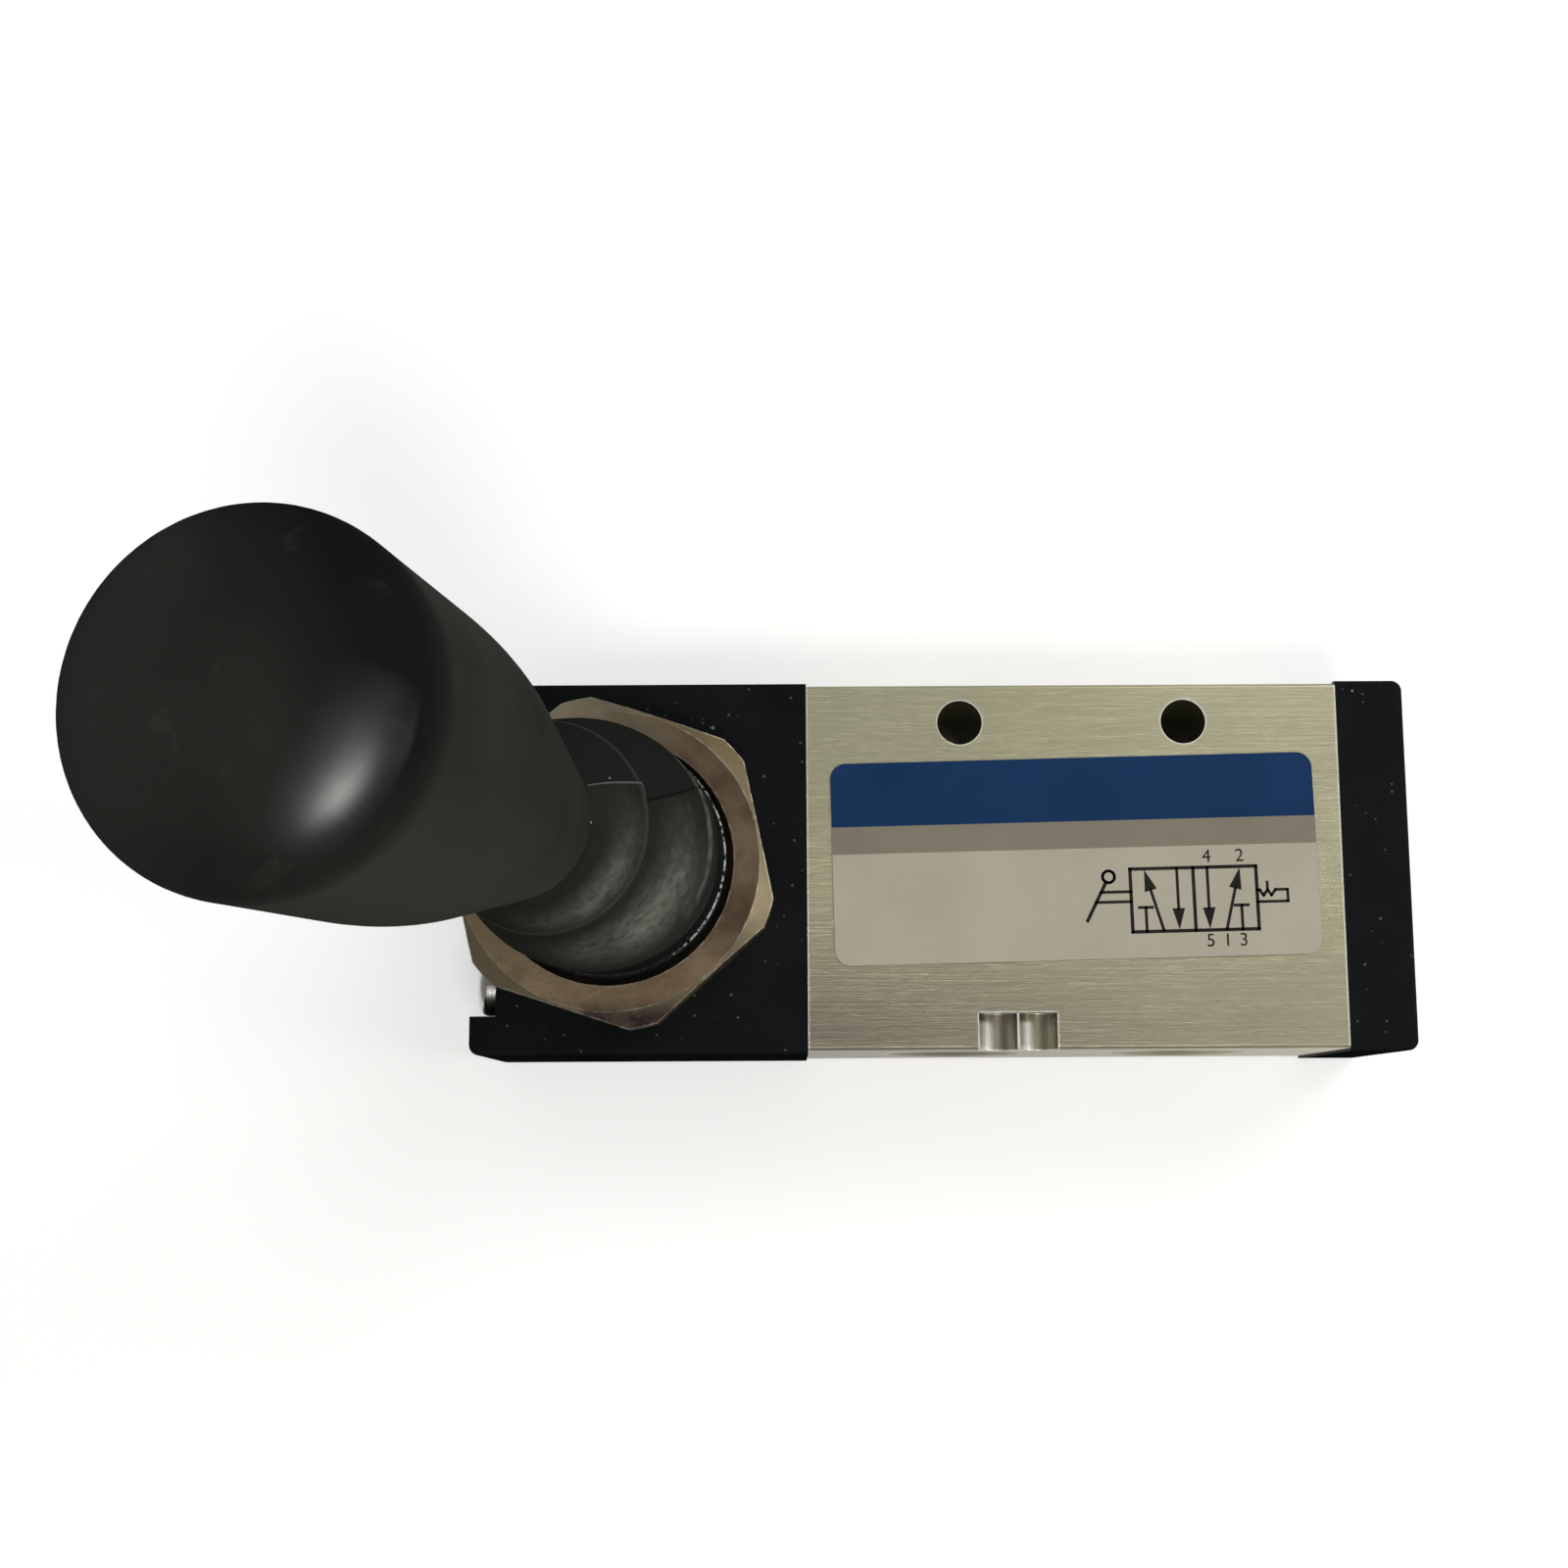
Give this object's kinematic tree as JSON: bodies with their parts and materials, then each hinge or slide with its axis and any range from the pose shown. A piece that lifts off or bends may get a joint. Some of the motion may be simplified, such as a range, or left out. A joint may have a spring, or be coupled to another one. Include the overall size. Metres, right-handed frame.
{
  "type": "manual air control valve",
  "caption": "Hand lever spool valve for compressed air: aluminium block with threaded ports, black lever housing with panel neck, nut and boot, long knob.",
  "frame": {"origin": "middle of the aluminium block's rear face", "axes": "+X along the valve from the lever to the end cap, +Y towards the side with the supply and exhaust ports, +Z out of the label face, the way the lever stands"},
  "size_m": [0.1025, 0.0356, 0.1097],
  "materials": {
    "brushed_aluminium": "brushed, clear",
    "spool_aluminium": "turned, fine",
    "black_moulding": "fine moulded texture",
    "nickel_plate": "nickel plated, slightly tarnished",
    "plated_screw": "zinc plated",
    "lever_steel": "turned",
    "spring_steel": "drawn wire",
    "insert_brass": "turned",
    "guide_acetal": "turned",
    "grip_plastic": "satin, handled",
    "boot_rubber": "moulded, dusty",
    "seal_rubber": "smooth",
    "label_film": "printed film"
  },
  "bodies": {
    "valve": {"valve_body": "brushed_aluminium", "lever_housing": "black_moulding", "guide_bush": "guide_acetal", "detent_spring": "spring_steel", "ring_bumper": "seal_rubber", "end_bumper": "seal_rubber", "housing_seal": "seal_rubber", "cap_seal": "seal_rubber", "housing_screws": "plated_screw", "cap_screws": "plated_screw", "end_cap": "black_moulding", "panel_nut": "nickel_plate", "pivot_pin": "lever_steel", "dust_boot": "boot_rubber", "label_plate": "label_film"},
    "lever": {"lever_rod": "lever_steel", "knob": "grip_plastic", "knob_insert": "insert_brass"},
    "spool_group": {"spool": "spool_aluminium", "spool_seals": "seal_rubber", "spool_yoke": "lever_steel"}
  },
  "joints": [
    {"name": "lever_pivot", "type": "hinge", "parent": "valve", "child": "lever", "pos_m": [-0.044, 0, 0.024], "axis": [0, 1, 0], "range_deg": [0, 20.8], "deforming": ["dust_boot"]},
    {"name": "spool_slide", "type": "slide", "parent": "valve", "child": "spool_group", "axis": [1, 0, 0], "range_m": [-0.00469, 0], "deforming": ["detent_spring"]}
  ],
  "couplings": [
    {"joint": "spool_slide", "follows": "lever_pivot", "m_per_rad": -0.012929}
  ]
}
